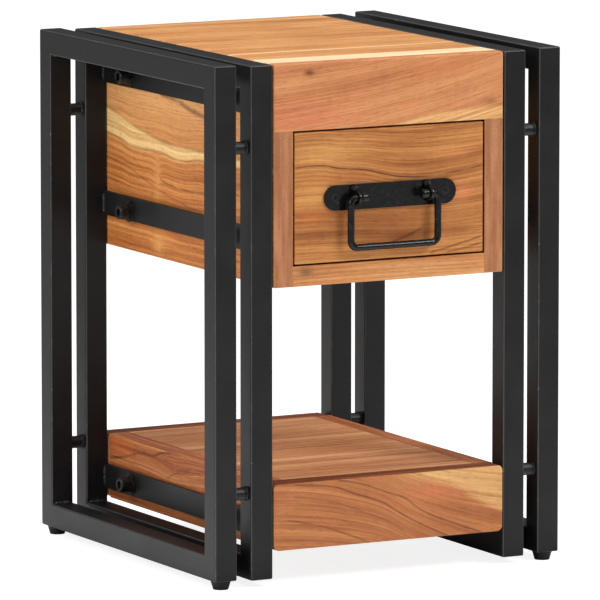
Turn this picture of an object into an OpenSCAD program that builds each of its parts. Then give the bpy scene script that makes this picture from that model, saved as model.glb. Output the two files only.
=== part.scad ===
// Side table: two double steel frames carry a wooden drawer case and a wooden shelf.
// Origin at the middle of the floor footprint, handle included. +X right, +Y back, +Z up.

/* [Overall] */
// Width over the outer frames
width = 400; // [360:5:460]
// Depth of the frames
depth = 400; // [350:5:460]
// Height from the floor to the top of the outer frames
height = 535; // [500:5:620]

/* [Steel frames] */
// Side of the square tube
tube = 25; // [20:1:30]
// Wall thickness of the tube
tube_wall = 1.5; // [1:0.5:3]
// Clear gap between the outer and the inner frame of a pair
frame_gap = 16; // [10:1:24]
// How much lower the inner frame sits than the outer one
inner_drop = 1.5; // [0:0.5:4]
// Diameter of the round spacers that join a pair of frames
spacer_d = 13; // [8:1:18]
// Height of the lower spacers above the floor
spacer_low_z = 96; // [70:1:140]
// Distance from the top of the outer frame to the upper spacers
spacer_top_drop = 85.5; // [60:0.5:120]

/* [Feet] */
// Height of the glides under the outer frames
foot_h = 9; // [6:1:14]
// Diameter of a glide where it meets the floor
foot_d_low = 15.5; // [10:0.5:20]
// Diameter of a glide where it meets the tube
foot_d_top = 21; // [16:0.5:25]

/* [Straps and bolts] */
// Height of the flat straps
strap_h = 25; // [20:1:30]
// Thickness of the flat straps
strap_t = 4; // [3:0.5:5]
// Distance of each bolt from the middle of the depth
bolt_reach = 113; // [80:1:140]
// Height of the middle strap's lower edge
strap_mid_z = 338.5; // [320:0.5:400]
// Drop of the middle bolts below the strap's centre line
mid_bolt_drop = 2.5; // [0:0.5:4]

/* [Wooden case] */
// Clearance between the wood and the inner frames
wood_gap = 1; // [1:0.5:5]
// Thickness of the boards
board_t = 22; // [18:1:24]
// Height of the case's front rail and of the shelf's aprons
rail_h = 69; // [50:1:90]
// Height of the whole case
case_h = 228; // [200:1:260]
// Thickness of the case bottom
case_floor_t = 21; // [16:1:26]
// Thickness of the case back
back_t = 12; // [6:1:18]

/* [Shelf] */
// Height of the shelf's underside above the floor
shelf_z = 36; // [35:1:80]
// How far the shelf's back stops short of the frames' backs
shelf_back_gap = 6; // [0:1:20]
// Radius of the shelf's front and back corners
shelf_corner_r = 6; // [1:0.5:8]

/* [Drawer] */
// Gap at each side of the drawer front
drawer_side_gap = 2; // [1:0.5:3]
// Gap under the drawer front
drawer_low_gap = 2; // [1:0.5:3]
// Gap over the drawer front
drawer_top_gap = 2; // [1:0.5:4]
// Length of the drawer from front to back
drawer_len = 365; // [250:5:370]
// Thickness of the drawer's sides and back
drawer_wall = 12; // [8:1:15]
// Height of the drawer's sides
drawer_side_h = 112; // [80:1:115]
// Thickness of the drawer's bottom panel
drawer_floor_t = 6; // [4:1:9]

/* [Handle] */
// Length of the handle's back plate
plate_w = 152; // [140:1:180]
// Height of the back plate
plate_h = 26; // [22:1:30]
// Thickness of the back plate
plate_t = 2.5; // [2:0.5:4]
// Distance between the two screws
screw_span = 128; // [120:1:140]
// Distance between the centre lines of the bail's arms
bail_w = 100; // [80:1:110]
// Drop of the bail's grip below its pivot
bail_drop = 50.5; // [40:0.5:60]
// Diameter of the bail's round bar
bail_d = 8; // [6:0.5:9]

/* [Hidden] */
$fn = 96;
eps = 1;

frame_nodes = [
    for (side = ["left", "right"], layer = ["outer", "inner"],
         bar = ["front_leg", "back_leg", "top_rail", "bottom_rail"])
        str(side, "_", layer, "_", bar)
];
strap_nodes = [
    for (side = ["left", "right"], level = ["upper", "middle", "lower"])
        str(side, "_", level, "_strap")
];

// How far the handle stands out in front of the frames
lug_r = 6.5;
pivot_out = 11;
handle_out = pivot_out + lug_r;

// Front and back of the frames, with the origin in the middle of the whole footprint
front = (handle_out - depth) / 2;
back = front + depth;
mid_y = (front + back) / 2;

// Centre lines of the tubes, and of a pair's legs
outer_x = (width - tube) / 2;
inner_x = outer_x - tube - frame_gap;
front_leg_y = front + tube / 2;
back_leg_y = back - tube / 2;

// Heights
outer_z = foot_h;
inner_z = outer_z - inner_drop;
frame_h = height - foot_h;
wood_top = height - inner_drop;
case_z = wood_top - case_h;
rail_z = wood_top - rail_h;
side_top = wood_top - board_t;
shelf_top = shelf_z + rail_h;
shelf_back = back - shelf_back_gap;

// Half widths: inner face of the inner frames, the wood, the space between the boards
frame_face = inner_x - tube / 2;
wood_half = frame_face - wood_gap;
bay_half = wood_half - board_t;

// Straps: each level is [lower edge, height of its bolts]
lower_strap_z = 47.5;
upper_strap_z = height - 56.5;
upper_strap = [upper_strap_z, upper_strap_z + strap_h / 2];
middle_strap = [strap_mid_z, strap_mid_z + strap_h / 2 - mid_bolt_drop];
lower_strap = [lower_strap_z, lower_strap_z + strap_h / 2];
bolt_levels = [upper_strap[1], middle_strap[1], lower_strap[1]];
bolt_rows = [mid_y - bolt_reach, mid_y + bolt_reach];

// M10 socket bolt with its spring washer, flat washer and threaded insert
bolt_r = 4.9;
bolt_len = 25;
bolt_head_r = 8;
bolt_head_h = 10;
socket_across = 8;
socket_depth = 5;
strap_hole_r = 5.5;
flat_washer_r = 11;
flat_washer_t = 2;
spring_washer_r = 9;
spring_washer_t = 2.2;
spring_slit = 1.5;
insert_r = 7;
insert_len = 17;
insert_bore_r = 5;
strap_face = frame_face + strap_t;
flat_washer_face = strap_face + flat_washer_t;
spring_washer_face = flat_washer_face + spring_washer_t;

// Glides
stem_r = 4;
stem_len = 12;
stem_clear = 0.05;

// Drawer
opening_z = case_z + case_floor_t;
drawer_front_z = opening_z + drawer_low_gap;
drawer_front_top = rail_z - drawer_top_gap;
drawer_half = bay_half - drawer_side_gap;
drawer_side_clear = 2;
drawer_side_half = bay_half - drawer_side_clear;
drawer_in_half = drawer_side_half - drawer_wall;
drawer_slide_gap = 0.5;
drawer_side_z = opening_z + drawer_slide_gap;
drawer_side_top = drawer_side_z + drawer_side_h;
drawer_end = front + drawer_len;
drawer_floor_z = drawer_side_z + 6;
groove_deep = 5;

// Kickers keep the drawer level; the bar between them stops it at full travel
kicker_clear = 1;
kicker_w = 20;
kicker_z = drawer_side_top + kicker_clear;
kicker_top = rail_z - 2;
stop_bar_front = front + 100;
stop_bar_t = 15;
stop_bar_overlap = 10;

// Handle
pivot_y = front - pivot_out;
pivot_z = 394;
plate_face = front - plate_t;
bail_r = bail_d / 2;
arm_x = bail_w / 2;
top_bend_r = 6;
low_bend_r = 7;
lug_x = 40;
lug_t = 3.5;
lug_foot_half = 10;
pivot_clear = 0.05;
peened_r = 5;
peened_x = 31;
peened_len = 7;
screw_r = 2;
screw_head_r = 4.2;
screw_head_h = 2.2;
screw_len = 18;
screw_clear = 0.05;
recess_w = 1;
recess_len = 4.6;
recess_deep = 1.2;

paint = [0.13, 0.13, 0.14];
iron = [0.10, 0.10, 0.11];
orange_wood = [0.80, 0.56, 0.36];
tan_wood = [0.74, 0.50, 0.30];
red_wood = [0.70, 0.44, 0.27];
plain_wood = [0.82, 0.66, 0.46];

// A prism along X whose outline is given in (y, z)
module prism_x(outline, x_low, w) {
    translate([x_low, 0, 0]) rotate([90, 0, 90]) linear_extrude(w) polygon(outline);
}

// A box from its low corner to its high corner
module span(low, high) {
    translate(low) cube(high - low);
}

// A cylinder along X from x0 to x1 at (y, z)
module rod_x(x0, x1, y, z, r) {
    translate([min(x0, x1), y, z]) rotate([0, 90, 0]) cylinder(h = abs(x1 - x0), r = r);
}

// Outline of one mitred bar: inset 0 gives the outside, inset tube_wall the hollow.
// The four corners of a frame meet at 45 degrees.
function leg_outline(y, turn, z, inset) = [
    [y + turn * inset, z + inset],
    [y + turn * (tube - inset), z + tube - inset],
    [y + turn * (tube - inset), z + frame_h - tube + inset],
    [y + turn * inset, z + frame_h - inset]
];
function rail_outline(z, turn, inset) = [
    [front + inset, z + turn * inset],
    [front + tube - inset, z + turn * (tube - inset)],
    [back - tube + inset, z + turn * (tube - inset)],
    [back - inset, z + turn * inset]
];
function layer_x(layer) = layer == "outer" ? outer_x : inner_x;
function layer_z(layer) = layer == "outer" ? outer_z : inner_z;

module frame_bar(side, layer, outline, hollow) {
    x = side * layer_x(layer);
    color(paint) difference() {
        prism_x(outline, x - tube / 2, tube);
        prism_x(hollow, x - tube / 2 + tube_wall, tube - 2 * tube_wall);
        children();
    }
}

module frame_leg(side, layer, end) {
    y = end == "front" ? front : back;
    turn = end == "front" ? 1 : -1;
    z = layer_z(layer);
    frame_bar(side, layer, leg_outline(y, turn, z, 0), leg_outline(y, turn, z, tube_wall));
}

module top_rail(side, layer) {
    z = layer_z(layer) + frame_h;
    frame_bar(side, layer, rail_outline(z, -1, 0), rail_outline(z, -1, tube_wall));
}

// The outer bottom rails are drilled for the stems of the glides
module bottom_rail(side, layer) {
    z = layer_z(layer);
    frame_bar(side, layer, rail_outline(z, 1, 0), rail_outline(z, 1, tube_wall))
        if (layer == "outer")
            for (y = [front_leg_y, back_leg_y])
                translate([side * outer_x, y, z - eps])
                    cylinder(h = tube_wall + 2 * eps, r = stem_r + stem_clear);
}

module strap(side, level) {
    low_x = side > 0 ? frame_face : -strap_face;
    color(paint) difference() {
        translate([low_x, front + tube, level[0]]) cube([strap_t, depth - 2 * tube, strap_h]);
        for (y = bolt_rows) rod_x(low_x - eps, low_x + strap_t + eps, y, level[1], strap_hole_r);
    }
}

module frame_spacers(side) {
    color(paint)
        for (y = [front_leg_y, back_leg_y], z = [spacer_low_z, height - spacer_top_drop])
            rod_x(side * (inner_x + tube / 2), side * (outer_x - tube / 2), y, z, spacer_d / 2);
}

module glide(side, y) {
    color(iron) translate([side * outer_x, y, 0]) {
        cylinder(h = foot_h, r1 = foot_d_low / 2, r2 = foot_d_top / 2);
        translate([0, 0, foot_h]) cylinder(h = stem_len, r = stem_r);
    }
}

// Runs its children at every bolt: their +X points away from the wood
module at_bolts() {
    for (side = [-1, 1], y = bolt_rows, z = bolt_levels)
        translate([0, y, z]) rotate([0, 0, side > 0 ? 0 : 180]) children();
}

module socket_bolts() {
    color(iron) at_bolts() difference() {
        union() {
            rod_x(spring_washer_face, spring_washer_face + bolt_head_h, 0, 0, bolt_head_r);
            rod_x(spring_washer_face - bolt_len, spring_washer_face, 0, 0, bolt_r);
        }
        translate([spring_washer_face + bolt_head_h - socket_depth, 0, 0]) rotate([0, 90, 0])
            cylinder(h = socket_depth + eps, r = socket_across / 2 / cos(30), $fn = 6);
    }
}

module spring_washers() {
    color(iron) at_bolts() difference() {
        rod_x(flat_washer_face, spring_washer_face, 0, 0, spring_washer_r);
        rod_x(flat_washer_face - eps, spring_washer_face + eps, 0, 0, bolt_r);
        translate([flat_washer_face - eps, 0, -spring_slit / 2])
            cube([spring_washer_t + 2 * eps, spring_washer_r + eps, spring_slit]);
    }
}

module flat_washers() {
    color(iron) at_bolts() difference() {
        rod_x(strap_face, flat_washer_face, 0, 0, flat_washer_r);
        rod_x(strap_face - eps, flat_washer_face + eps, 0, 0, bolt_r);
    }
}

module threaded_inserts() {
    color("goldenrod") at_bolts() difference() {
        rod_x(wood_half - insert_len, wood_half, 0, 0, insert_r);
        rod_x(wood_half - insert_len - eps, wood_half + eps, 0, 0, insert_bore_r);
    }
}

// Blind holes for the threaded inserts in a board whose outer face is at x = wood_half
module insert_holes(side, levels) {
    for (y = bolt_rows, z = levels)
        rod_x(side * (wood_half - insert_len), side * (wood_half + eps), y, z, insert_r);
}

// The side boards run the full height under the top panel and are notched behind the front rail
module case_side(side) {
    outline = [
        [front, case_z], [back, case_z], [back, side_top],
        [front + board_t, side_top], [front + board_t, rail_z], [front, rail_z]
    ];
    color(tan_wood) difference() {
        prism_x(outline, side > 0 ? bay_half : -wood_half, board_t);
        insert_holes(side, [upper_strap[1], middle_strap[1]]);
    }
}

module case_top_panel() {
    color(orange_wood)
        span([-wood_half, front + board_t, side_top], [wood_half, back, wood_top]);
}

module case_front_rail() {
    color(orange_wood)
        span([-wood_half, front, rail_z], [wood_half, front + board_t, wood_top]);
}

module case_bottom_panel() {
    color(tan_wood) span([-bay_half, front, case_z], [bay_half, back, opening_z]);
}

module case_back_panel() {
    color(plain_wood)
        span([-bay_half, back - back_t, opening_z], [bay_half, back, side_top]);
}

module kicker(side) {
    low_x = side > 0 ? bay_half - kicker_w : -bay_half;
    color(plain_wood)
        span([low_x, front + board_t, kicker_z], [low_x + kicker_w, back - back_t, kicker_top]);
}

module drawer_stop_bar() {
    color(plain_wood)
        span([kicker_w - bay_half, stop_bar_front, drawer_side_top - stop_bar_overlap],
             [bay_half - kicker_w, stop_bar_front + stop_bar_t, kicker_top]);
}

// The groove that the drawer's bottom panel sits in
module floor_groove() {
    span([-drawer_in_half - groove_deep, front + board_t - groove_deep, drawer_floor_z],
         [drawer_in_half + groove_deep, drawer_end + eps, drawer_floor_z + drawer_floor_t]);
}

module drawer_front() {
    color(tan_wood) difference() {
        span([-drawer_half, front, drawer_front_z],
             [drawer_half, front + board_t, drawer_front_top]);
        floor_groove();
        for (side = [-1, 1])
            translate([side * screw_span / 2, front - eps, pivot_z]) rotate([-90, 0, 0])
                cylinder(h = screw_len - plate_t + eps, r = screw_r + screw_clear);
    }
}

module drawer_side(side) {
    low_x = side > 0 ? drawer_in_half : -drawer_side_half;
    color(plain_wood) difference() {
        span([low_x, front + board_t, drawer_side_z],
             [low_x + drawer_wall, drawer_end, drawer_side_top]);
        floor_groove();
    }
}

module drawer_back() {
    color(plain_wood)
        span([-drawer_in_half, drawer_end - drawer_wall, drawer_floor_z + drawer_floor_t],
             [drawer_in_half, drawer_end, drawer_side_top]);
}

module drawer_bottom() {
    color(plain_wood)
        span([-drawer_in_half - groove_deep, front + board_t - groove_deep, drawer_floor_z],
             [drawer_in_half + groove_deep, drawer_end, drawer_floor_z + drawer_floor_t]);
}

// Back plate with half-round ends and a countersunk hole near each end
module handle_plate() {
    end_x = (plate_w - plate_h) / 2;
    color(iron) translate([0, front, pivot_z]) rotate([90, 0, 0]) difference() {
        union() {
            translate([-end_x, -plate_h / 2, 0]) cube([2 * end_x, plate_h, plate_t]);
            for (side = [-1, 1])
                translate([side * end_x, 0, 0]) cylinder(h = plate_t, r = plate_h / 2);
        }
        for (side = [-1, 1]) translate([side * screw_span / 2, 0, 0]) {
            translate([0, 0, -eps]) cylinder(h = plate_t + 2 * eps, r = screw_r + screw_clear);
            translate([0, 0, plate_t - screw_head_h])
                cylinder(h = screw_head_h, r1 = screw_r + screw_clear, r2 = screw_head_r);
            translate([0, 0, plate_t]) cylinder(h = eps, r = screw_head_r);
        }
    }
}

// Countersunk screws with a cross recess, flush with the plate
module handle_screws() {
    color(iron) for (side = [-1, 1])
        translate([side * screw_span / 2, plate_face, pivot_z]) rotate([-90, 0, 0]) difference() {
            union() {
                cylinder(h = screw_head_h, r1 = screw_head_r, r2 = screw_r);
                translate([0, 0, screw_head_h]) cylinder(h = screw_len - screw_head_h, r = screw_r);
            }
            for (turn = [0, 90]) rotate([0, 0, turn])
                translate([-recess_len / 2, -recess_w / 2, -eps])
                    cube([recess_len, recess_w, recess_deep + eps]);
        }
}

// Two eye lugs, welded to the plate, that the bail's ends turn in
module handle_lugs() {
    outline = [
        [plate_face, pivot_z - lug_foot_half], [plate_face, pivot_z + lug_foot_half],
        [pivot_y, pivot_z + lug_r], [pivot_y, pivot_z - lug_r]
    ];
    color(iron) for (low_x = [lug_x, -lug_x - lug_t]) difference() {
        union() {
            prism_x(outline, low_x, lug_t);
            rod_x(low_x, low_x + lug_t, pivot_y, pivot_z, lug_r);
        }
        rod_x(low_x - eps, low_x + lug_t + eps, pivot_y, pivot_z, bail_r + pivot_clear);
    }
}

// A quarter bend of round bar in the XZ plane, centred on the Y axis, from +X round to +Z
module bend(r) {
    rotate([90, 0, 0]) rotate_extrude(angle = 90) translate([r, 0]) circle(r = bail_r);
}

// Half of the bail: pin with its peened end, bend, arm, bend and half of the grip
module half_bail() {
    arm_top = -top_bend_r;
    arm_low = low_bend_r - bail_drop;
    rod_x(peened_x + peened_len, arm_x - top_bend_r, 0, 0, bail_r);
    rod_x(peened_x, peened_x + peened_len, 0, 0, peened_r);
    translate([arm_x - top_bend_r, 0, arm_top]) bend(top_bend_r);
    translate([arm_x, 0, arm_low]) cylinder(h = arm_top - arm_low, r = bail_r);
    translate([arm_x - low_bend_r, 0, arm_low]) mirror([0, 0, 1]) bend(low_bend_r);
    rod_x(0, arm_x - low_bend_r, 0, -bail_drop, bail_r);
}

module handle_bail() {
    color(iron) translate([0, pivot_y, pivot_z]) {
        half_bail();
        mirror([1, 0, 0]) half_bail();
    }
}

// Full-width apron across the front or the back, with rounded corners
module shelf_cross_apron(y) {
    corner_x = wood_half - shelf_corner_r;
    low = shelf_z + shelf_corner_r;
    high = shelf_top - shelf_corner_r;
    color(red_wood) translate([0, y + board_t, 0]) rotate([90, 0, 0]) linear_extrude(board_t) {
        translate([-corner_x, shelf_z]) square([2 * corner_x, rail_h]);
        translate([-wood_half, low]) square([2 * wood_half, high - low]);
        for (x = [-corner_x, corner_x], z = [low, high]) translate([x, z]) circle(shelf_corner_r);
    }
}

module shelf_side_apron(side) {
    low_x = side > 0 ? bay_half : -wood_half;
    color(red_wood) difference() {
        span([low_x, front + board_t, shelf_z], [low_x + board_t, shelf_back - board_t, shelf_top]);
        insert_holes(side, [lower_strap[1]]);
    }
}

module shelf_panel() {
    color(tan_wood)
        span([-bay_half, front + board_t, shelf_top - board_t],
             [bay_half, shelf_back - board_t, shelf_top]);
}

frame_leg(-1, "outer", "front");  // left_outer_front_leg
frame_leg(-1, "outer", "back");  // left_outer_back_leg
top_rail(-1, "outer");  // left_outer_top_rail
bottom_rail(-1, "outer");  // left_outer_bottom_rail
frame_leg(-1, "inner", "front");  // left_inner_front_leg
frame_leg(-1, "inner", "back");  // left_inner_back_leg
top_rail(-1, "inner");  // left_inner_top_rail
bottom_rail(-1, "inner");  // left_inner_bottom_rail
frame_leg(1, "outer", "front");  // right_outer_front_leg
frame_leg(1, "outer", "back");  // right_outer_back_leg
top_rail(1, "outer");  // right_outer_top_rail
bottom_rail(1, "outer");  // right_outer_bottom_rail
frame_leg(1, "inner", "front");  // right_inner_front_leg
frame_leg(1, "inner", "back");  // right_inner_back_leg
top_rail(1, "inner");  // right_inner_top_rail
bottom_rail(1, "inner");  // right_inner_bottom_rail
strap(-1, upper_strap);  // left_upper_strap
strap(-1, middle_strap);  // left_middle_strap
strap(-1, lower_strap);  // left_lower_strap
strap(1, upper_strap);  // right_upper_strap
strap(1, middle_strap);  // right_middle_strap
strap(1, lower_strap);  // right_lower_strap
frame_spacers(-1);  // left_frame_spacers
frame_spacers(1);  // right_frame_spacers
glide(-1, front_leg_y);  // front_left_glide
glide(1, front_leg_y);  // front_right_glide
glide(-1, back_leg_y);  // back_left_glide
glide(1, back_leg_y);  // back_right_glide
socket_bolts();
spring_washers();
flat_washers();
threaded_inserts();
case_side(-1);  // case_left_side
case_side(1);  // case_right_side
case_top_panel();
case_front_rail();
case_bottom_panel();
case_back_panel();
kicker(-1);  // left_kicker
kicker(1);  // right_kicker
drawer_stop_bar();
drawer_front();
drawer_side(-1);  // drawer_left_side
drawer_side(1);  // drawer_right_side
drawer_back();
drawer_bottom();
handle_plate();
handle_lugs();
handle_screws();
handle_bail();
shelf_cross_apron(front);  // shelf_front_apron
shelf_cross_apron(shelf_back - board_t);  // shelf_back_apron
shelf_side_apron(-1);  // shelf_left_apron
shelf_side_apron(1);  // shelf_right_apron
shelf_panel();
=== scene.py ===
"""A side table with one drawer: acacia boards held between welded frames of square tube.

Metres throughout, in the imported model's frame: +X right, +Y back, +Z up.
Sizes marked mm are turned to metres by the functions that take them.
"""
import math

import bmesh
import bpy
import numpy as np
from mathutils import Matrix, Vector, noise


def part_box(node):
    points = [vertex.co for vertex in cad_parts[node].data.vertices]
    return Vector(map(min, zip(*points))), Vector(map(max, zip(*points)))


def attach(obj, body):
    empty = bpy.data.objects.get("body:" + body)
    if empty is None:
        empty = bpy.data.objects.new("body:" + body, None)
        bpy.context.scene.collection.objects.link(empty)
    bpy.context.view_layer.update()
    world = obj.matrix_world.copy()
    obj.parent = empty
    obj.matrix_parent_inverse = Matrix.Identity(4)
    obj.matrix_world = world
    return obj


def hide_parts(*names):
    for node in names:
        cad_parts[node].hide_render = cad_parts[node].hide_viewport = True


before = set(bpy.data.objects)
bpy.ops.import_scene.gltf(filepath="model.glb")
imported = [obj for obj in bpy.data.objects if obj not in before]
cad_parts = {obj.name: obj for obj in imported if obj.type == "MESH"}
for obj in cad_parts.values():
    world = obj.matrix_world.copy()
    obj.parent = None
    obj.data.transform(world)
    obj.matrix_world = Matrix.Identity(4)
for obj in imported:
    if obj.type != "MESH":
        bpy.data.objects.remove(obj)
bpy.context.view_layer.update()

MM = 0.001
AXES = ("x", "y", "z")


# ---------------------------------------------------------------- shading kit


def rgb(red, green, blue):
    """A colour given as 0 to 255 on a screen, as the linear colour that shaders take."""

    def linear(level):
        level = level / 255
        return level / 12.92 if level <= 0.04045 else ((level + 0.055) / 1.055) ** 2.4

    return (linear(red), linear(green), linear(blue), 1.0)


class Field:
    """A number that varies through space. It adds and multiplies like a plain number."""

    def __init__(self, shade, socket):
        self.shade = shade
        self.socket = socket

    def math(self, operation, *others):
        inputs = dict(enumerate((self, *others)))
        return self.shade.add("Math", inputs, operation=operation)

    def __add__(self, other):
        return self.math("ADD", other)

    def __sub__(self, other):
        return self.math("SUBTRACT", other)

    def __mul__(self, other):
        return self.math("MULTIPLY", other)

    def __truediv__(self, other):
        return self.math("DIVIDE", other)

    def size(self):
        return self.math("ABSOLUTE")

    def power(self, exponent):
        return self.math("POWER", exponent)

    def step(self, start, end):
        """0 before start and 1 after end, smooth between them. start may be above end."""
        inputs = {"Value": self, "From Min": start, "From Max": end}
        return self.shade.add("MapRange", inputs, interpolation_type="SMOOTHSTEP")


class Shade:
    """Builds one procedural material. What is worked out point by point comes back as a Field."""

    def __init__(self, name):
        self.material = bpy.data.materials.new(name)
        self.material.use_nodes = True
        self.tree = self.material.node_tree
        self.surface = self.tree.nodes["Principled BSDF"]

    def put(self, socket, value):
        """Joins a Field to an input, or sets the input to a number or a colour."""
        if isinstance(value, Field):
            self.tree.links.new(value.socket, socket)
        else:
            socket.default_value = value

    def add(self, kind, inputs, output=0, **settings):
        """Adds a node, sets its settings, joins its inputs and returns one output."""
        node = self.tree.nodes.new("ShaderNode" + kind)
        for key, value in settings.items():
            setattr(node, key, value)
        for key, value in inputs.items():
            self.put(node.inputs[key], value)
        return Field(self, node.outputs[output])

    def place(self):
        """The point's x, y and z in the table's own frame, in metres."""
        point = self.add("TexCoord", {}, output="Object")
        return [self.add("SeparateXYZ", {0: point}, output=i) for i in range(3)]

    def vector(self, x, y, z):
        return self.add("CombineXYZ", {0: x, 1: y, 2: z})

    def noise(self, vector, scale=1.0, detail=2.0, rough=0.5):
        inputs = {"Vector": vector, "Scale": scale, "Detail": detail, "Roughness": rough}
        return self.add("TexNoise", inputs)

    def ramp(self, value, stops):
        """A colour for each value: stops are (position, colour) pairs."""
        field = self.add("ValToRGB", {0: value})
        ramp = field.socket.node.color_ramp
        while len(ramp.elements) < len(stops):
            ramp.elements.new(0.5)
        for element, (position, colour) in zip(ramp.elements, stops):
            element.position = position
            element.color = colour
        return field

    def mix(self, factor, first, second, blend="MIX"):
        inputs = {0: factor, 6: first, 7: second}
        return self.add("Mix", inputs, output=2, data_type="RGBA", blend_type=blend)

    def path(self, along, points):
        """The height in metres of a smooth line through points, (along, height) pairs in mm."""
        starts, heights = zip(*points)
        first, last = min(starts) * MM, max(starts) * MM
        low, high = min(heights) * MM, max(heights) * MM
        if high - low < MM * 0.01:
            return (along * 0.0) + low
        share = (along - first) / (last - first)
        field = self.add("FloatCurve", {"Value": share})
        curve = field.socket.node.mapping.curves[0]
        while len(curve.points) < len(points):
            curve.points.new(0.5, 0.5)
        for spot, (start, height) in zip(curve.points, points):
            share_along = (start * MM - first) / (last - first)
            share_up = (height * MM - low) / (high - low)
            spot.location = (share_along, share_up)
            spot.handle_type = "AUTO"
        field.socket.node.mapping.update()
        return field * (high - low) + low

    def arris(self):
        """0 on the flat faces, which all lie along the axes, and up to 1 on rounded edges."""
        normal = self.add("TexCoord", {}, output="Normal")
        parts = [self.add("SeparateXYZ", {0: normal}, output=i).size() for i in range(3)]
        flatness = parts[0].math("MAXIMUM", parts[1]).math("MAXIMUM", parts[2])
        return flatness.step(0.995, 0.8)

    def bump(self, height, depth):
        """Roughens the surface by a height from 0 to 1 times a depth in metres."""
        normal = self.add("Bump", {"Height": height, "Distance": depth, "Strength": 1.0})
        self.put(self.surface.inputs["Normal"], normal)

    def finish(self, **inputs):
        """Sets the surface's inputs, with _ for a space in a name, and gives the material."""
        for name, value in inputs.items():
            self.put(self.surface.inputs[name.replace("_", " ")], value)
        return self.material


# ---------------------------------------------------------------- wood

SAPWOOD = (rgb(198, 142, 84), rgb(236, 188, 128))
CREAM = (rgb(240, 190, 138), rgb(255, 232, 192))
DARK_LINE = rgb(84, 44, 28)
DRAWER_GAP_SHADE = (rgb(52, 22, 12), rgb(84, 38, 20))    # Painted shade on the sides' inner faces in the drawer's gap.


class Board:
    """The coordinates and the noises that one board's wood is mixed from."""

    def __init__(self, name, grain, across, seed):
        self.shade = Shade(name)
        self.place = dict(zip(AXES, self.shade.place()))
        self.u = self.place[grain]
        self.v = self.place[across]
        self.w = self.place[next(axis for axis in AXES if axis not in (grain, across))]
        self.seed = seed
        self.flow = self.v    # Across the board, bent as the grain bends.
        sway = self.stretched(5.0, 9.0, detail=1.0) - 0.5
        self.flow = self.v + sway * (6 * MM)

    def stretched(self, along, wide, detail=2.0, rough=0.5):
        """Noise drawn out along the grain: cycles per metre along it and across it."""
        point = self.shade.vector(self.u * along + self.seed, self.flow * wide, self.w * wide)
        return self.shade.noise(point, detail=detail, rough=rough)

    def follow(self, guide, reach):
        """Bends the grain along a line of (along, across) points in mm, up to reach mm away."""
        line = self.shade.path(self.u, guide)
        level = sum(height for _, height in guide) / len(guide) * MM
        near = ((self.v - line).size() / (-reach * MM)).math("EXPONENT")
        self.flow = self.flow - (line - level) * near

    def swirl(self, spot, half, push):
        """Pushes the grain aside round a spot, as a knot does. All in mm."""
        self.flow = self.flow + self.bell(spot, half) * (push * MM)

    def bell(self, spot, half):
        """1 at a spot on the face, falling to 0 over its half length and half width in mm."""
        off_u = (self.u - spot[0] * MM) / (half[0] * MM)
        off_v = (self.v - spot[1] * MM) / (half[1] * MM)
        return ((off_u * off_u + off_v * off_v) * -1.0).math("EXPONENT")

    def draw_noises(self):
        self.broad = self.stretched(1.7, 46.0, detail=4.0, rough=0.6)
        self.mottle = self.stretched(11.0, 34.0, detail=4.0, rough=0.6)
        self.streaks = self.stretched(3.2, 330.0, detail=4.0, rough=0.62)
        self.fibres = self.stretched(17.0, 1000.0, detail=3.0, rough=0.7)
        self.pores = self.stretched(95.0, 700.0, detail=1.0).step(0.58, 0.66)
        self.ripple = self.stretched(190.0, 45.0, detail=1.0)

    def rings(self, spacing):
        """Growth rings, spacing mm apart: each darkens slowly and ends sharply."""
        wander = (self.broad - 0.5) * (2.4 * spacing * MM)
        wave = ((self.flow + wander) / (spacing * MM)).math("FRACT")
        return wave.power(4.0) * wave.step(1.0, 0.9) * self.mottle.step(0.3, 0.65)

    def ragged(self, size):
        """A wandering offset in metres, so that no drawn line is quite smooth."""
        return (self.streaks - 0.5) * (size * MM)

    def band(self, lower, upper, soft):
        """1 between two lines of (along, across) points in mm, fading over soft mm."""
        place = self.v + self.ragged(3 + soft) + (self.broad - 0.5) * (4 * MM)
        above = (place - self.shade.path(self.u, lower)).step(-soft * MM, soft * MM)
        below = (self.shade.path(self.u, upper) - place).step(-soft * MM, soft * MM)
        return above * below

    def line(self, points, width):
        """1 on a thin line of (along, across) points in mm, broken here and there."""
        off = (self.v + self.ragged(1.4) - self.shade.path(self.u, points)).size()
        start, end = points[0][0], points[-1][0]
        begun = self.u.step((start - 3) * MM, (start + 5) * MM)
        ended = self.u.step((end + 3) * MM, (end - 5) * MM)
        spot = self.shade.vector(self.u * 26.0 + self.seed, self.v * 7.0, 0.0)
        breaks = self.shade.noise(spot).step(0.22, 0.58)
        return off.step(width * MM, width * 0.1 * MM) * breaks * begun * ended

    def inside(self, ranges):
        """1 inside a box of {axis: (low, high)} in mm."""
        mask = self.u * 0.0 + 1.0
        for axis, (low, high) in ranges.items():
            past_low = self.place[axis].step((low - 0.4) * MM, (low + 0.4) * MM)
            mask = mask * past_low * self.place[axis].step((high + 0.4) * MM, (high - 0.4) * MM)
        return mask


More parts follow.
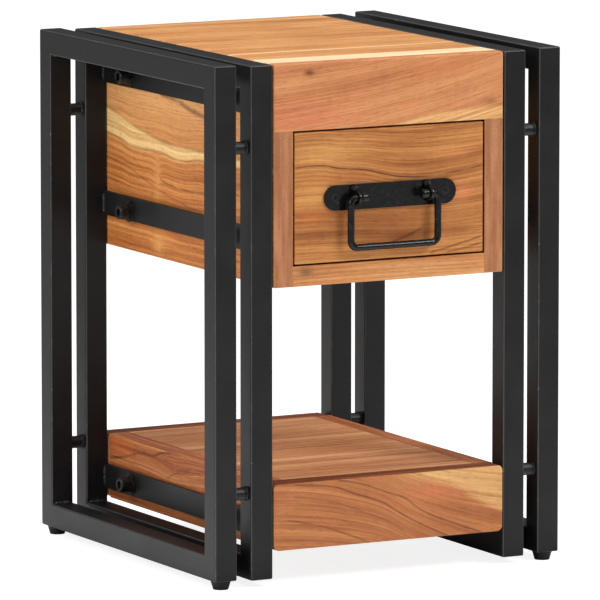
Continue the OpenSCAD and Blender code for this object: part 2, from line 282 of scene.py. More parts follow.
def wood(name, grain, across, tones, seed, guide=None, reach=60, contrast=1.0, rings=(9, 0.35),
         swirls=(), patches=(), sapwood=(), lines=(), faces=()):
    """Lacquered acacia, solid all through.

    tones are its dark, middle and light colours. All places are in mm, along the grain and
    across the face: guide is a line that the grain follows up to reach away. rings are their
    spacing and strength, swirls (spot, half sizes, push), patches (spot, half sizes, colour,
    strength), sapwood (lower line, upper line, softness, strength, colours) and lines, which
    are dark, (points, width, strength). faces are (box, colours) for faces cut another way,
    or for painted shade, as in the drawer's gap.
    """
    board = Board(name, grain, across, seed)
    shade = board.shade
    if guide:
        board.follow(guide, reach)
    for spot, half, push in swirls:
        board.swirl(spot, half, push)
    board.draw_noises()

    tone = (board.broad - 0.5) * (0.9 * contrast) + (board.streaks - 0.5) * (0.7 * contrast)
    tone = tone + (board.streaks.step(0.4, 0.6) - 0.5) * (0.22 * contrast)
    tone = tone + (board.mottle - 0.5) * (0.5 * contrast) + 0.5
    dark, middle, light = tones
    colour = shade.ramp(tone, [(0.2, dark), (0.5, middle), (0.8, light)])
    for spot, half, patch_colour, strength in patches:
        near = board.bell(spot, half) * (board.streaks + 0.5) * strength
        colour = shade.mix(near, colour, patch_colour)
    spacing, strength = rings
    colour = shade.mix(board.rings(spacing) * strength, colour, DARK_LINE)
    for lower, upper, soft, strength, colours in sapwood:
        pale = shade.mix(board.streaks.step(0.25, 0.7), *colours)
        colour = shade.mix(board.band(lower, upper, soft) * strength, colour, pale)
    for points, width, strength in lines:
        colour = shade.mix(board.line(points, width) * strength, colour, DARK_LINE)
    for ranges, colours in faces:
        point = shade.vector(board.w * 190.0 + seed, board.v * 16.0, board.u * 8.0)
        layers = shade.noise(point, detail=4.0).step(0.3, 0.7)
        colour = shade.mix(board.inside(ranges), colour, shade.mix(layers, *colours))

    play = (board.ripple - 0.5) * 0.12 + (board.fibres - 0.5) * 0.8 + (board.mottle - 0.5) * 0.2
    play = play - board.pores * 0.16 + 1.04
    colour = shade.mix(1.0, colour, shade.vector(play, play, play), "MULTIPLY")
    # Painted highlight: the rounded edges are painted towards the light tone.
    colour = shade.mix(shade.arris() * board.streaks * 0.4, colour, light)
    rough = (board.streaks - 0.5) * 0.2 + board.pores * 0.15 + 0.5
    shade.bump(board.fibres * 0.5 + board.streaks * 0.5 - board.pores, 0.05 * MM)
    return shade.finish(Base_Color=colour, Roughness=rough, Specular_IOR_Level=0.16)


# ---------------------------------------------------------------- metal and plastic


def powder_coat():
    """Satin black powder coat: fine orange peel, a little dust, a painted highlight along the
    rounded edges, and worn and chipped spots there that are partly wear, partly painted glints.
    """
    shade = Shade("black_powder_coat")
    place = shade.vector(*shade.place())
    peel = shade.noise(place, scale=900.0, detail=2.0)
    cloud = shade.noise(place, scale=22.0, detail=3.0)
    dust = shade.noise(place, scale=1500.0, detail=1.0).step(0.7, 0.8)
    edge = shade.arris()
    rubbed_and_glinting = edge * shade.noise(place, scale=40.0, detail=5.0, rough=0.75).step(0.5, 0.75)
    chips_and_glints = edge * shade.noise(place, scale=150.0, detail=3.0, rough=0.7).step(0.64, 0.74)
    colour = shade.ramp(cloud, [(0.3, rgb(22, 22, 23)), (0.7, rgb(30, 30, 31))])
    colour = shade.mix(dust * 0.3, colour, rgb(84, 82, 80))
    # Painted highlight along every rounded edge, stronger on the worn spots, which are partly real
    # wear.
    colour = shade.mix(edge * 0.35 + rubbed_and_glinting * 0.4, colour, rgb(112, 110, 106))
    # Chipped specks on the edges: partly bare metal, partly painted glints.
    colour = shade.mix(chips_and_glints * 0.6, colour, rgb(150, 147, 140))
    shade.bump(peel * 0.7 + cloud * 0.3, 0.08 * MM)
    rough = (cloud - 0.5) * 0.2 + rubbed_and_glinting * -0.1 + 0.4
    return shade.finish(Base_Color=colour, Roughness=rough, Specular_IOR_Level=0.2)


def forged_iron():
    """Black-lacquered forged iron, with hammer marks and worn bright spots."""
    shade = Shade("forged_black_iron")
    place = shade.vector(*shade.place())
    dents = shade.noise(place, scale=160.0, detail=3.0, rough=0.6)
    scale_marks = shade.noise(place, scale=620.0, detail=2.0)
    worn = (dents * scale_marks).step(0.34, 0.46)
    colour = shade.ramp(dents, [(0.3, rgb(8, 8, 10)), (0.7, rgb(17, 17, 20))])
    colour = shade.mix(worn * 0.25, colour, rgb(120, 114, 104))
    shade.bump(dents * 0.9 + scale_marks * 0.1, 0.3 * MM)
    rough = (scale_marks - 0.5) * 0.16 + 0.22
    return shade.finish(Base_Color=colour, Roughness=rough, Specular_IOR_Level=0.26)


def black_steel():
    """The blackened steel of the bolts and washers, worn to bare metal in places."""
    shade = Shade("blackened_steel")
    place = shade.vector(*shade.place())
    grime = shade.noise(place, scale=330.0, detail=3.0)
    colour = shade.ramp(grime, [(0.4, rgb(18, 18, 19)), (0.75, rgb(50, 49, 47))])
    shade.bump(grime, 0.04 * MM)
    rough = (grime - 0.5) * 0.2 + 0.34
    return shade.finish(Base_Color=colour, Roughness=rough, Specular_IOR_Level=0.24)


def brass():
    """Dull brass of the threaded inserts."""
    shade = Shade("dull_brass")
    place = shade.vector(*shade.place())
    stain = shade.noise(place, scale=260.0, detail=3.0)
    colour = shade.ramp(stain, [(0.3, rgb(150, 112, 52)), (0.7, rgb(196, 158, 84))])
    rough = (stain - 0.5) * 0.2 + 0.4
    return shade.finish(Base_Color=colour, Roughness=rough, Metallic=1.0)


def glide_plastic():
    """Black moulded plastic with a fine spark-eroded grain."""
    shade = Shade("glide_plastic")
    place = shade.vector(*shade.place())
    grain = shade.noise(place, scale=1400.0, detail=2.0)
    scuff = shade.noise(place, scale=90.0, detail=3.0)
    colour = shade.ramp(scuff, [(0.3, rgb(10, 10, 10)), (0.75, rgb(22, 21, 20))])
    shade.bump(grain, 0.05 * MM)
    rough = (scuff - 0.5) * 0.2 + 0.5
    return shade.finish(Base_Color=colour, Roughness=rough)


# ---------------------------------------------------------------- shapes

SMOOTH_UP_TO = math.radians(38)    # Sharper corners than this are shaded as edges.
ROUND_FROM = math.radians(30)      # Outward corners sharper than this are rounded.
FLAT_UP_TO = math.radians(0.5)
SAME_PLACE = 0.001 * MM
SEAM = 0.35 * MM                   # Rounding where two boards are glued edge to edge.
ARRIS = 2.4 * MM                   # Rounding of a hand-sanded outer edge.
SHELF_ARRIS = 2.8 * MM
SHORT = 4 * MM                     # Edges shorter than this are pieces of a round outline.
TUBE_ROUND = 1.9 * MM              # Rounding of the square tube's corners.
FRAME_PARTS = ("front_leg", "back_leg", "top_rail", "bottom_rail")


def new_piece(name, mesh, material, body, slot, nodes):
    """Puts a mesh in the scene as a piece of the table, riding on a body."""
    piece = bpy.data.objects.new(name, mesh)
    bpy.context.scene.collection.objects.link(piece)
    mesh.materials.clear()
    mesh.materials.append(material)
    mesh.shade_smooth()
    mesh.set_sharp_from_angle(angle=SMOOTH_UP_TO)
    normals = piece.modifiers.new("even_normals", "WEIGHTED_NORMAL")
    normals.keep_sharp = True
    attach(piece, body)
    if nodes:
        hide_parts(*nodes)
    return piece


def to_mesh(form, name):
    """A finished mesh from a bmesh, with its faces all turned outward."""
    bmesh.ops.recalc_face_normals(form, faces=form.faces)
    mesh = bpy.data.meshes.new(name)
    form.to_mesh(mesh)
    form.free()
    return mesh


def weigh_edges(form, radius_of):
    """Gives each outward corner of a bmesh its share of the widest rounding, and returns that."""
    weight = form.edges.layers.float.new("bevel_weight_edge")
    radii = {}
    for edge in form.edges:
        if edge.is_manifold and edge.is_convex and edge.calc_face_angle() > ROUND_FROM:
            radii[edge] = radius_of(edge)
    widest = max(radii.values())
    for edge, radius in radii.items():
        edge[weight] = radius / widest
    return widest


def bevelled(form, name, radius_of, steps=3):
    """The bmesh as a mesh whose outward corners are rounded edge by edge."""
    bmesh.ops.recalc_face_normals(form, faces=form.faces)
    form.normal_update()
    widest = weigh_edges(form, radius_of)
    mesh = bpy.data.meshes.new(name)
    form.to_mesh(mesh)
    form.free()
    holder = bpy.data.objects.new(name, mesh)
    bpy.context.scene.collection.objects.link(holder)
    bevel = holder.modifiers.new("round", "BEVEL")
    bevel.limit_method = "WEIGHT"
    bevel.width = widest
    bevel.segments = steps
    bevel.offset_type = "OFFSET"
    bevel.use_clamp_overlap = True
    bpy.context.view_layer.update()
    shown = holder.evaluated_get(bpy.context.evaluated_depsgraph_get())
    rounded = bpy.data.meshes.new_from_object(shown)
    bpy.data.objects.remove(holder)
    rounded.name = name
    return rounded


def merged_form(node):
    """A CAD node's mesh as a bmesh, with doubled corners made one."""
    form = bmesh.new()
    form.from_mesh(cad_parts[node].data)
    bmesh.ops.remove_doubles(form, verts=form.verts, dist=SAME_PLACE)
    return form


def cad_form(node):
    """A CAD node's shape as a bmesh, with its flat faces whole again."""
    form = merged_form(node)
    bmesh.ops.dissolve_limit(form, angle_limit=FLAT_UP_TO, verts=form.verts, edges=form.edges)
    return form


def box_round(nodes):
    """The lowest and highest corners of several CAD nodes together."""
    corners = [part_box(node) for node in nodes]
    low = Vector(min(c[0][i] for c in corners) for i in range(3))
    high = Vector(max(c[1][i] for c in corners) for i in range(3))
    return low, high


def board(node, group, material, body, slot, arris=ARRIS):
    """A board: the CAD shape, its edges on the outside of the group sanded round."""
    low, high = box_round(group)
    near = 0.05 * MM

    def radius_of(edge):
        planes = [
            AXES[axis] for axis in range(3) for plane in (low[axis], high[axis])
            if all(abs(corner.co[axis] - plane) < near for corner in edge.verts)]
        if len(planes) >= 2:
            return arris
        if edge.calc_length() < SHORT:
            return arris if planes == ["z"] else 0.0
        return SEAM

    mesh = bevelled(cad_form(node), node + "_board", radius_of)
    return new_piece(node + "_board", mesh, material, body, slot, [node])


def refined(node, material, body, slot, radius):
    """A CAD part's own shape with every sharp outer edge broken to a small radius."""
    mesh = bevelled(cad_form(node), node + "_shape", lambda edge: radius, steps=2)
    return new_piece(node + "_shape", mesh, material, body, slot, [node])


def frame_nodes(side, ring):
    return [f"{side}_{ring}_{part}" for part in FRAME_PARTS]


def frame_size(side, ring):
    """A frame's lowest and highest corners, and the width of its tube."""
    nodes = frame_nodes(side, ring)
    leg_low, leg_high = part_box(nodes[0])
    return (*box_round(nodes), leg_high.y - leg_low.y)


def welded_frame(side, ring, material):
    """One frame: four square tubes mitred, welded and ground flush into a closed loop."""
    name = f"{side}_{ring}_frame"
    low, high, tube = frame_size(side, ring)
    form = bmesh.new()
    rings = []
    for inset in (0.0, tube):
        corners = [(low.y + inset, low.z + inset), (high.y - inset, low.z + inset),
                   (high.y - inset, high.z - inset), (low.y + inset, high.z - inset)]
        for x in (low.x, high.x):
            rings.append([form.verts.new((x, y, z)) for y, z in corners])
    outer_left, outer_right, inner_left, inner_right = rings
    bands = ((outer_left, outer_right), (inner_right, inner_left),
             (outer_left, inner_left), (inner_right, outer_right))
    for first, second in bands:
        skin(form, first, second)
    mesh = bevelled(form, name, lambda edge: TUBE_ROUND, steps=4)
    return new_piece(name, mesh, material, "table", "frame_paint", frame_nodes(side, ring))


def skin(form, first, second):
    """Joins two rings of the same number of corners with a band of faces."""
    for i in range(len(first)):
        j = (i + 1) % len(first)
        form.faces.new((first[i], first[j], second[j], second[i]))


def sweep(path, radius, sides=14, closed=False, up=Vector((0, 1, 0))):
    """A tube along a path of points in metres. radius(i, turn) gives its size at a ring."""
    form = bmesh.new()
    count = len(path)
    rings = []
    for i, point in enumerate(path):
        before = path[i - 1] if (i > 0 or closed) else point
        after = path[(i + 1) % count] if (i < count - 1 or closed) else point
        ahead = (after - before).normalized()
        side = ahead.cross(up).normalized()
        over = side.cross(ahead).normalized()
        turns = [2 * math.pi * k / sides for k in range(sides)]
        ring = []
        for turn in turns:
            outward = side * math.cos(turn) + over * math.sin(turn)
            ring.append(form.verts.new(point + outward * radius(i, turn)))
        rings.append(ring)
    for i in range(count if closed else count - 1):
        skin(form, rings[i], rings[(i + 1) % count])
    if not closed:
        form.faces.new(rings[0])
        form.faces.new(rings[-1])
    return form


def turned(origin, way, outline, sides):
    """A solid turned about a line along X. outline is (distance, radius) pairs in metres;
    a radius may be a function of the angle. way is 1 or -1: where distance grows."""
    form = bmesh.new()
    rings = []
    for along, radius in outline:
        ring = []
        for k in range(sides):
            turn = 2 * math.pi * k / sides
            reach = radius(turn) if callable(radius) else radius
            corner = Vector((way * along, math.cos(turn) * reach, math.sin(turn) * reach))
            ring.append(form.verts.new(origin + corner))
        rings.append(ring)
    for first, second in zip(rings, rings[1:]):
        skin(form, first, second)
    form.faces.new(rings[0])
    form.faces.new(rings[-1])
    return form


def join(forms):
    """Several bmeshes as one."""
    whole = bmesh.new()
    for form in forms:
        mesh = bpy.data.meshes.new("part")
        bmesh.ops.recalc_face_normals(form, faces=form.faces)
        form.to_mesh(mesh)
        form.free()
        whole.from_mesh(mesh)
        bpy.data.meshes.remove(mesh)
    return whole


def islands(node):
    """The lowest and highest corners of each separate solid in a CAD node."""
    form = merged_form(node)
    left = set(form.verts)
    boxes = []
    while left:
        found = [left.pop()]
        for vert in found:
            for edge in vert.link_edges:
                other = edge.other_vert(vert)
                if other in left:
                    left.remove(other)
                    found.append(other)
        low = Vector(min(vert.co[i] for vert in found) for i in range(3))
        high = Vector(max(vert.co[i] for vert in found) for i in range(3))
        boxes.append((low, high))
    form.free()
    return sorted(boxes, key=lambda box: tuple(box[0]))


# ---------------------------------------------------------------- hardware

BOLT_HEAD = 10 * MM                # The bolts: height of a head, half the width of a shank,
BOLT_SHANK = 4.9 * MM              # the hexagon's width and depth, and the knurling's ridges.
SOCKET_ACROSS = 8 * MM
SOCKET_DEPTH = 5 * MM
KNURL_DEPTH = 0.4 * MM
KNURL_RIDGES = 32

BAIL_ROD = 3.75 * MM               # The bail: half the width of its bar and of its ends,
BAIL_KNOB = 5.0 * MM               # how far off the middle the ends start and stop,
BAIL_KNOB_FROM = 31 * MM           # and the radii of its upper and lower bends.
BAIL_KNOB_TO = 38.4 * MM
BAIL_KNOB_ROUND = 1.2 * MM
BAIL_TOP_BEND = 6 * MM
BAIL_LOW_BEND = 7 * MM

SPACER_BEAD = 0.9 * MM             # Half the width of the weld beads round the spacers,
CORNER_BEAD = 1.7 * MM             # in the frames' corners and along the straps' ends,
STRAP_BEAD = 1.6 * MM              # and how far apart a straight bead's rings are.
BEAD_STEP = 0.8 * MM
LUG_BLOB = Vector((4.4, 3.4, 3.6))    # Half sizes in mm of the blobs of weld at the lugs.


def hexagon(across):
    """The radius of a hexagon of a width across its flats, as a function of the angle."""
    sixth = math.pi / 3
    return lambda turn: across / 2 / math.cos(turn % sixth - sixth / 2)


def knurl(radius, depth, ridges):
    """A radius with small ridges round it."""
    return lambda turn: radius - depth * abs((turn * ridges / (2 * math.pi)) % 1 - 0.5) * 2


def socket_bolts(material):
    """The cap screws: knurled heads with a hexagon socket, as they come from the box."""
    forms = []
    for low, high in islands("socket_bolts"):
        way = 1 if low.x > 0 else -1
        tip, face = (low.x, high.x) if way > 0 else (high.x, low.x)
        reach = abs(face - tip)
        head = (high.z - low.z) / 2
        middle = Vector((tip, (low.y + high.y) / 2, (low.z + high.z) / 2))
        under = reach - BOLT_HEAD
        grip = knurl(head, KNURL_DEPTH, KNURL_RIDGES)
        key = hexagon(SOCKET_ACROSS)
        shank = [(0.0, 4.2 * MM), (0.8 * MM, BOLT_SHANK), (under, BOLT_SHANK)]
        knurled = [(under, 7.6 * MM), (under + 0.3 * MM, grip), (reach - 1.3 * MM, grip)]
        rim = [(reach - 1.1 * MM, 7.5 * MM), (reach - 0.6 * MM, 7.5 * MM),
               (reach, 6.8 * MM), (reach, 5.1 * MM)]
        socket = [(reach - 0.4 * MM, key), (reach - SOCKET_DEPTH, key), (reach - 6 * MM, 0.8 * MM)]
        outline = shank + knurled + rim + socket
        forms.append(turned(middle, way, outline, sides=96))
    mesh = to_mesh(join(forms), "socket_cap_screws")
    return new_piece("socket_cap_screws", mesh, material, "table", "bolt_black", ["socket_bolts"])


def bend(centre, radius, start, end, steps=7):
    """Points round a bend in the XZ plane, from one angle to another in degrees."""
    turns = [math.radians(start + (end - start) * i / steps) for i in range(steps + 1)]
    return [centre + Vector((math.cos(turn), 0, math.sin(turn))) * radius for turn in turns]


def straight(start, end, gap=2 * MM):
    """Points from start up to, and without, end."""
    count = max(1, round((end - start).length / gap))
    return [start.lerp(end, i / count) for i in range(count)]


def forged_bail(material):
    """The handle's bail: one round rod, bent hot, with its two ends hammered thick."""
    low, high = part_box("handle_bail")
    level = (low.y + high.y) / 2
    arm = -(high.x - BAIL_ROD)
    pivot = high.z - BAIL_KNOB
    grip = low.z + BAIL_ROD
    top = Vector((arm + BAIL_TOP_BEND, level, pivot - BAIL_TOP_BEND))
    corner = Vector((arm + BAIL_LOW_BEND, level, grip + BAIL_LOW_BEND))
    start = Vector((-BAIL_KNOB_FROM, level, pivot))
    middle = Vector((0, level, grip))
    half = straight(start, top + Vector((0, 0, BAIL_TOP_BEND)), 1 * MM)
    half += bend(top, BAIL_TOP_BEND, 90, 180)
    half += straight(half[-1], corner - Vector((BAIL_LOW_BEND, 0, 0)))[1:]
    half += bend(corner, BAIL_LOW_BEND, 180, 270)
    half += straight(half[-1], middle)[1:]
    path = half + [middle] + [Vector((-p.x, p.y, p.z)) for p in reversed(half)]

    def radius(i, turn):
        point = path[i]
        hammered = 1 - 0.02 * (1 + math.sin(i * 0.55)) - 0.015 * (1 + math.cos(4 * turn + i * 0.05))
        if point.z > pivot - 0.1 * MM and abs(point.x) < BAIL_KNOB_TO:
            past_end = max(0.0, abs(point.x) - BAIL_KNOB_FROM)
            at_end = min(1.0, past_end / BAIL_KNOB_ROUND)
            return BAIL_KNOB * (0.8 + 0.19 * math.sqrt(at_end)) * hammered
        return BAIL_ROD * hammered

    mesh = to_mesh(sweep(path, radius, sides=20), "forged_bail")
    return new_piece("forged_bail", mesh, material, "bail", "handle_iron", ["handle_bail"])


def weld_bead(path, radius, rng, closed=False, up=Vector((0, 1, 0))):
    """A weld bead along a path: a lumpy ridge like a row of fallen coins."""
    count = len(path)
    lumps = 1 + 0.14 * rng.standard_normal(count)

    def radius_of(i, turn):
        coin = 1 + 0.14 * math.cos(i * 1.7)
        tail = 1.0 if closed else min(1.0, 0.35 + 1.3 * math.sin(math.pi * i / (count - 1)))
        return radius * lumps[i] * coin * tail

    return sweep(path, radius_of, sides=8, closed=closed, up=up)


def spacer_welds(side, rng):
    """A bead round each end of each spacer rod, where it meets the tubes."""
    beads = []
    for low, high in islands(f"{side}_frame_spacers"):
        middle = (low + high) / 2
        reach = (high.z - low.z) / 2 + 0.2 * MM
        for x in (low.x + 0.8 * MM, high.x - 0.8 * MM):
            turns = [2 * math.pi * k / 30 for k in range(30)]
            path = [
                Vector((x, middle.y + math.cos(turn) * reach, middle.z + math.sin(turn) * reach))
                for turn in turns]
            beads.append(weld_bead(path, SPACER_BEAD, rng, closed=True, up=Vector((1, 0, 0))))
    return beads


def corner_welds(side, ring, rng):
    """A bead across each inside corner of a frame."""
    low, high, tube = frame_size(side, ring)
    inset = tube + 0.5 * MM
    beads = []
    for y in (low.y + inset, high.y - inset):
        for z in (low.z + inset, high.z - inset):
            start, end = Vector((low.x + 2 * MM, y, z)), Vector((high.x - 2 * MM, y, z))
            beads.append(weld_bead(straight(start, end, BEAD_STEP), CORNER_BEAD, rng))
    return beads


def strap_welds(side, rng):
    """A bead down each end of each strap, where it meets the legs."""
    beads = []
    for level in ("upper", "middle", "lower"):
        low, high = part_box(f"{side}_{level}_strap")
        x = low.x + 0.3 * MM if side == "left" else high.x - 0.3 * MM
        for y in (low.y + 0.6 * MM, high.y - 0.6 * MM):
            start, end = Vector((x, y, low.z + 2 * MM)), Vector((x, y, high.z - 2 * MM))
            beads.append(weld_bead(straight(start, end, BEAD_STEP), STRAP_BEAD, rng))
    return beads


def frame_welds(side, material):
    rng = np.random.default_rng(5 if side == "left" else 6)
    beads = spacer_welds(side, rng) + strap_welds(side, rng)
    for ring in ("outer", "inner"):
        beads += corner_welds(side, ring, rng)
    mesh = to_mesh(join(beads), f"{side}_weld_beads")
    return new_piece(f"{side}_weld_beads", mesh, material, "table", "frame_paint", [])


def lug_welds(material):
    """The blobs of weld that hold the handle's lugs to its plate."""
    plate_low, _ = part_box("handle_plate")
    forms = []
    for i, (low, high) in enumerate(islands("handle_lugs")):
        form = bmesh.new()
        bmesh.ops.create_icosphere(form, subdivisions=4, radius=1.0)
        middle = Vector(((low.x + high.x) / 2, plate_low.y - 2.0 * MM, high.z - 1.0 * MM))
        for vert in form.verts:
            lump = 1 + 0.3 * noise.noise(vert.co * 2.3 + Vector((i * 7.0, 0, 0)))
            size = LUG_BLOB * (MM * lump)
            vert.co = middle + Vector(a * b for a, b in zip(vert.co, size))
        forms.append(form)
    mesh = to_mesh(join(forms), "lug_weld_blobs")
    return new_piece("lug_weld_blobs", mesh, material, "drawer", "handle_iron", [])


# ---------------------------------------------------------------- materials in use

coat = powder_coat()
iron = forged_iron()
steel = black_steel()

WOOD_TONES = {
    "top": (rgb(164, 96, 48), rgb(206, 140, 82), rgb(232, 178, 118)),
    "rail": (rgb(160, 88, 54), rgb(200, 132, 86), rgb(216, 158, 108)),
    "drawer": (rgb(128, 70, 32), rgb(182, 118, 66), rgb(214, 154, 88)),
    "side": (rgb(144, 76, 36), rgb(196, 122, 62), rgb(224, 160, 94)),
    "bottom": (rgb(160, 96, 52), rgb(198, 134, 82), rgb(222, 168, 114)),
    "apron": (rgb(134, 72, 42), rgb(172, 108, 66), rgb(196, 132, 82)),
    "shelf": (rgb(160, 96, 60), rgb(208, 148, 102), rgb(234, 186, 138)),
    "shelf_side": (rgb(126, 62, 34), rgb(168, 98, 56), rgb(200, 132, 80)),
    "inside": (rgb(170, 112, 70), rgb(200, 146, 98), rgb(222, 176, 126)),
}

OUT = 134    # Just past the boards' left and right ends, in mm.

# Lines of (along, across) points in mm, which the grain and the drawn lines follow.
DRAWER_LINE = [(-109, 427), (-84, 428), (-58, 424), (-31, 421), (-5, 415), (18, 411), (39, 410),
               (66, 412), (110, 418)]
SIDE_LINE = [(-191, 420), (-33, 418), (22, 413), (67, 417), (112, 416), (148, 421), (209, 428)]
SIDE_SAPWOOD_TOP = [(-191, 429), (-33, 428), (47, 428), (83, 433), (120, 438), (151, 446),
                    (209, 456)]
APRON_ARCH = [(-OUT, 105), (-86, 100), (-45, 90), (-8, 77), (25, 58), (54, 44), (106, 22)]
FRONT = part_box("case_left_side")[0].y / MM
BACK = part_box("case_left_side")[1].y / MM
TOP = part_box("case_top_panel")[1].z / MM
SHELF_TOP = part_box("shelf_panel")[1].z / MM
SHELF_FACE = {"z": (SHELF_TOP - 0.7, SHELF_TOP + 5)}


def top_wood():
    return wood(
        "acacia_top", "x", "y", WOOD_TONES["top"], seed=3.0, contrast=0.7, rings=(14, 0.12),
        sapwood=[([(-OUT, -200), (OUT, -200)], [(-OUT, -143), (OUT, -146)], 2, 0.95, CREAM),
                 ([(-OUT, -95), (OUT, -93)], [(-OUT, -88), (OUT, -85)], 1.5, 0.6, CREAM),
                 ([(-OUT, 190), (OUT, 182)], [(-OUT, 198), (OUT, 190)], 1.5, 0.4, CREAM)],
        lines=[([(-OUT, 176), (OUT, 172)], 5, 0.35), ([(-OUT, 40), (OUT, 52)], 2, 0.3),
               ([(-OUT, -30), (OUT, -20)], 2, 0.3)])


def rail_wood():
    return wood(
        "acacia_rail", "x", "z", WOOD_TONES["rail"], seed=8.0, contrast=0.5, rings=(12, 0.08),
        guide=[(-OUT, 466), (0, 482), (OUT, 512)], reach=400,
        patches=[((-92, 523), (6, 3), rgb(110, 60, 36), 0.9),
                 ((118, 483), (9, 4), rgb(150, 104, 62), 0.7),
                 ((-100, 478), (50, 14), rgb(206, 122, 88), 0.7),
                 ((60, 520), (70, 12), rgb(198, 124, 78), 0.5)],
        sapwood=[([(-30, 440), (OUT, 440)], [(-30, 458), (13, 466), (62, 474), (OUT, 477)],
                  2.5, 0.85, SAPWOOD)],
        faces=[({"z": (TOP - 0.5, TOP + 5), "y": (-179, -160)}, CREAM)])


def drawer_wood():
    return wood(
        "acacia_drawer_front", "x", "z", WOOD_TONES["drawer"], seed=14.0, guide=DRAWER_LINE, reach=45,
        contrast=0.6, rings=(8, 0.05),
        lines=[(DRAWER_LINE, 1.5, 0.9),
               ([(47, 331), (80, 338), (110, 345)], 1.8, 0.75),
               ([(66, 330), (90, 334), (110, 338)], 1.5, 0.6),
               ([(0, 344), (20, 350), (40, 358)], 2.4, 0.6)],
        # The first patch, inside the bail, is partly the wood's darker colour, partly painted shade
        # from the handle.
        patches=[((-5, 370), (60, 20), rgb(140, 78, 40), 0.6),
                 ((86, 390), (10, 7), rgb(214, 130, 84), 0.8),
                 ((-85, 357), (28, 5), rgb(138, 80, 46), 0.7),
                 ((20, 350), (30, 6), rgb(118, 60, 36), 0.65),
                 ((-70, 440), (40, 14), rgb(212, 156, 90), 0.6),
                 ((-80, 398), (25, 12), rgb(206, 150, 84), 0.5),
                 ((80, 352), (22, 5), rgb(128, 70, 40), 0.55),
                 ((20, 446), (46, 4), rgb(150, 88, 46), 0.5),
                 ((-52, 414), (34, 4), rgb(176, 98, 54), 0.5),
                 ((70, 432), (30, 6), rgb(206, 136, 82), 0.5),
                 ((-20, 434), (26, 3), rgb(150, 90, 50), 0.45),
                 ((-88, 376), (18, 6), rgb(196, 112, 66), 0.5)])


def side_wood():
    stile = (rgb(156, 100, 66), rgb(182, 125, 88))
    return wood(
        "acacia_sides", "y", "z", WOOD_TONES["side"], seed=21.0, guide=SIDE_LINE, reach=70,
        contrast=0.6, rings=(7, 0.1),
        swirls=[((68, 395), (14, 26), 3.5), ((66, 318), (16, 12), 3)],
        patches=[((60, 488), (260, 48), rgb(234, 172, 110), 1.0),
                 ((68, 395), (7, 30), rgb(214, 146, 84), 0.8),
                 ((66, 320), (12, 10), rgb(220, 156, 92), 0.7)],
        sapwood=[(SIDE_LINE, SIDE_SAPWOOD_TOP, 3, 0.95, (rgb(212, 160, 92), rgb(248, 210, 146)))],
        lines=[(SIDE_SAPWOOD_TOP, 3.0, 0.35), (SIDE_LINE, 2.5, 0.25),
               ([(-40, 464), (-3, 469), (25, 475), (63, 478)], 4.5, 0.6),
               ([(-40, 384), (22, 384), (64, 392)], 2.0, 0.5),
               ([(-40, 363), (21, 370), (69, 378), (135, 393), (188, 400)], 2.0, 0.4)],
        faces=[({"y": (FRONT - 5, FRONT + 0.9)}, stile), ({"y": (BACK - 0.9, BACK + 5)}, stile),
               # The last face is painted shade on the sides' inner faces just behind the drawer
               # front.
               ({"x": (-111.5, 111.5), "y": (FRONT + 1.2, FRONT + 9)}, DRAWER_GAP_SHADE)])


def bottom_wood():
    return wood(
        "acacia_bottom", "x", "z", WOOD_TONES["bottom"], seed=27.0, contrast=0.7, rings=(8, 0.15),
        patches=[((-96, 320), (9, 5), rgb(120, 84, 60), 0.8),
                 ((40, 318), (50, 5), rgb(212, 154, 100), 0.5)])


def apron_wood():
    arcs = [
        [(-OUT, 105), (-86, 100), (-63, 97), (-45, 90), (-8, 77), (8, 67), (39, 50), (70, 36)],
        [(-60, 104), (-33, 98), (3, 85), (19, 79), (32, 69), (48, 60), (75, 49), (110, 36)],
        [(-OUT, 69), (-95, 62), (-51, 48), (-22, 36)],
        [(-OUT, 92), (-95, 88), (-60, 80), (-26, 67), (7, 52), (22, 40)],
    ]
    return wood(
        "acacia_shelf_front", "x", "z", WOOD_TONES["apron"], seed=33.0, guide=APRON_ARCH, reach=120,
        contrast=0.55, rings=(10, 0.1),
        lines=[(arc, 1.7, strength) for arc, strength in zip(arcs, (0.6, 0.65, 0.55, 0.35))],
        patches=[((90, 104), (70, 16), rgb(210, 156, 98), 0.9),
                 ((60, 84), (40, 10), rgb(196, 112, 76), 0.6)],
        sapwood=[([(24, 106), (54, 95), (72, 89), (99, 73), (OUT, 56)],
                  [(24, 130), (OUT, 131)], 5, 0.7, (rgb(180, 132, 80), rgb(216, 173, 116)))],
        faces=[(SHELF_FACE, (rgb(96, 50, 30), rgb(148, 84, 52)))])


def shelf_side_wood():
    wavy = [(-30, 106), (34, 104), (61, 101), (84, 95), (100, 95), (123, 91), (150, 84), (184, 79)]
    return wood(
        "acacia_shelf_sides", "y", "z", WOOD_TONES["shelf_side"], seed=39.0, rings=(8, 0.3),
        lines=[(wavy, 2.4, 0.8), ([(-30, 91), (6, 89), (34, 82), (48, 76)], 2.0, 0.5)],
        swirls=[((30, 84), (40, 14), 8)],
        patches=[((170, 96), (40, 14), rgb(206, 112, 60), 0.6)],
        faces=[(SHELF_FACE, (rgb(150, 82, 50), rgb(204, 136, 92)))])


def shelf_wood():
    pale = (rgb(206, 150, 104), rgb(246, 204, 154))
    return wood(
        "acacia_shelf", "x", "y", WOOD_TONES["shelf"], seed=45.0, contrast=0.7, rings=(12, 0.15),
        sapwood=[([(-OUT, 46), (OUT, 46)], [(-OUT, 64), (OUT, 64)], 2, 0.6, pale),
                 ([(-OUT, -62), (OUT, -60)], [(-OUT, -48), (OUT, -48)], 2, 0.7, pale)],
        lines=[([(-OUT, -112), (-82, -123), (10, -138), (OUT, -150)], 2.5, 0.4)])


# ---------------------------------------------------------------- the table

for side in ("left", "right"):
    for ring in ("outer", "inner"):
        welded_frame(side, ring, coat)
    for level in ("upper", "middle", "lower"):
        refined(f"{side}_{level}_strap", coat, "table", "frame_paint", 0.7 * MM)
    frame_welds(side, coat)

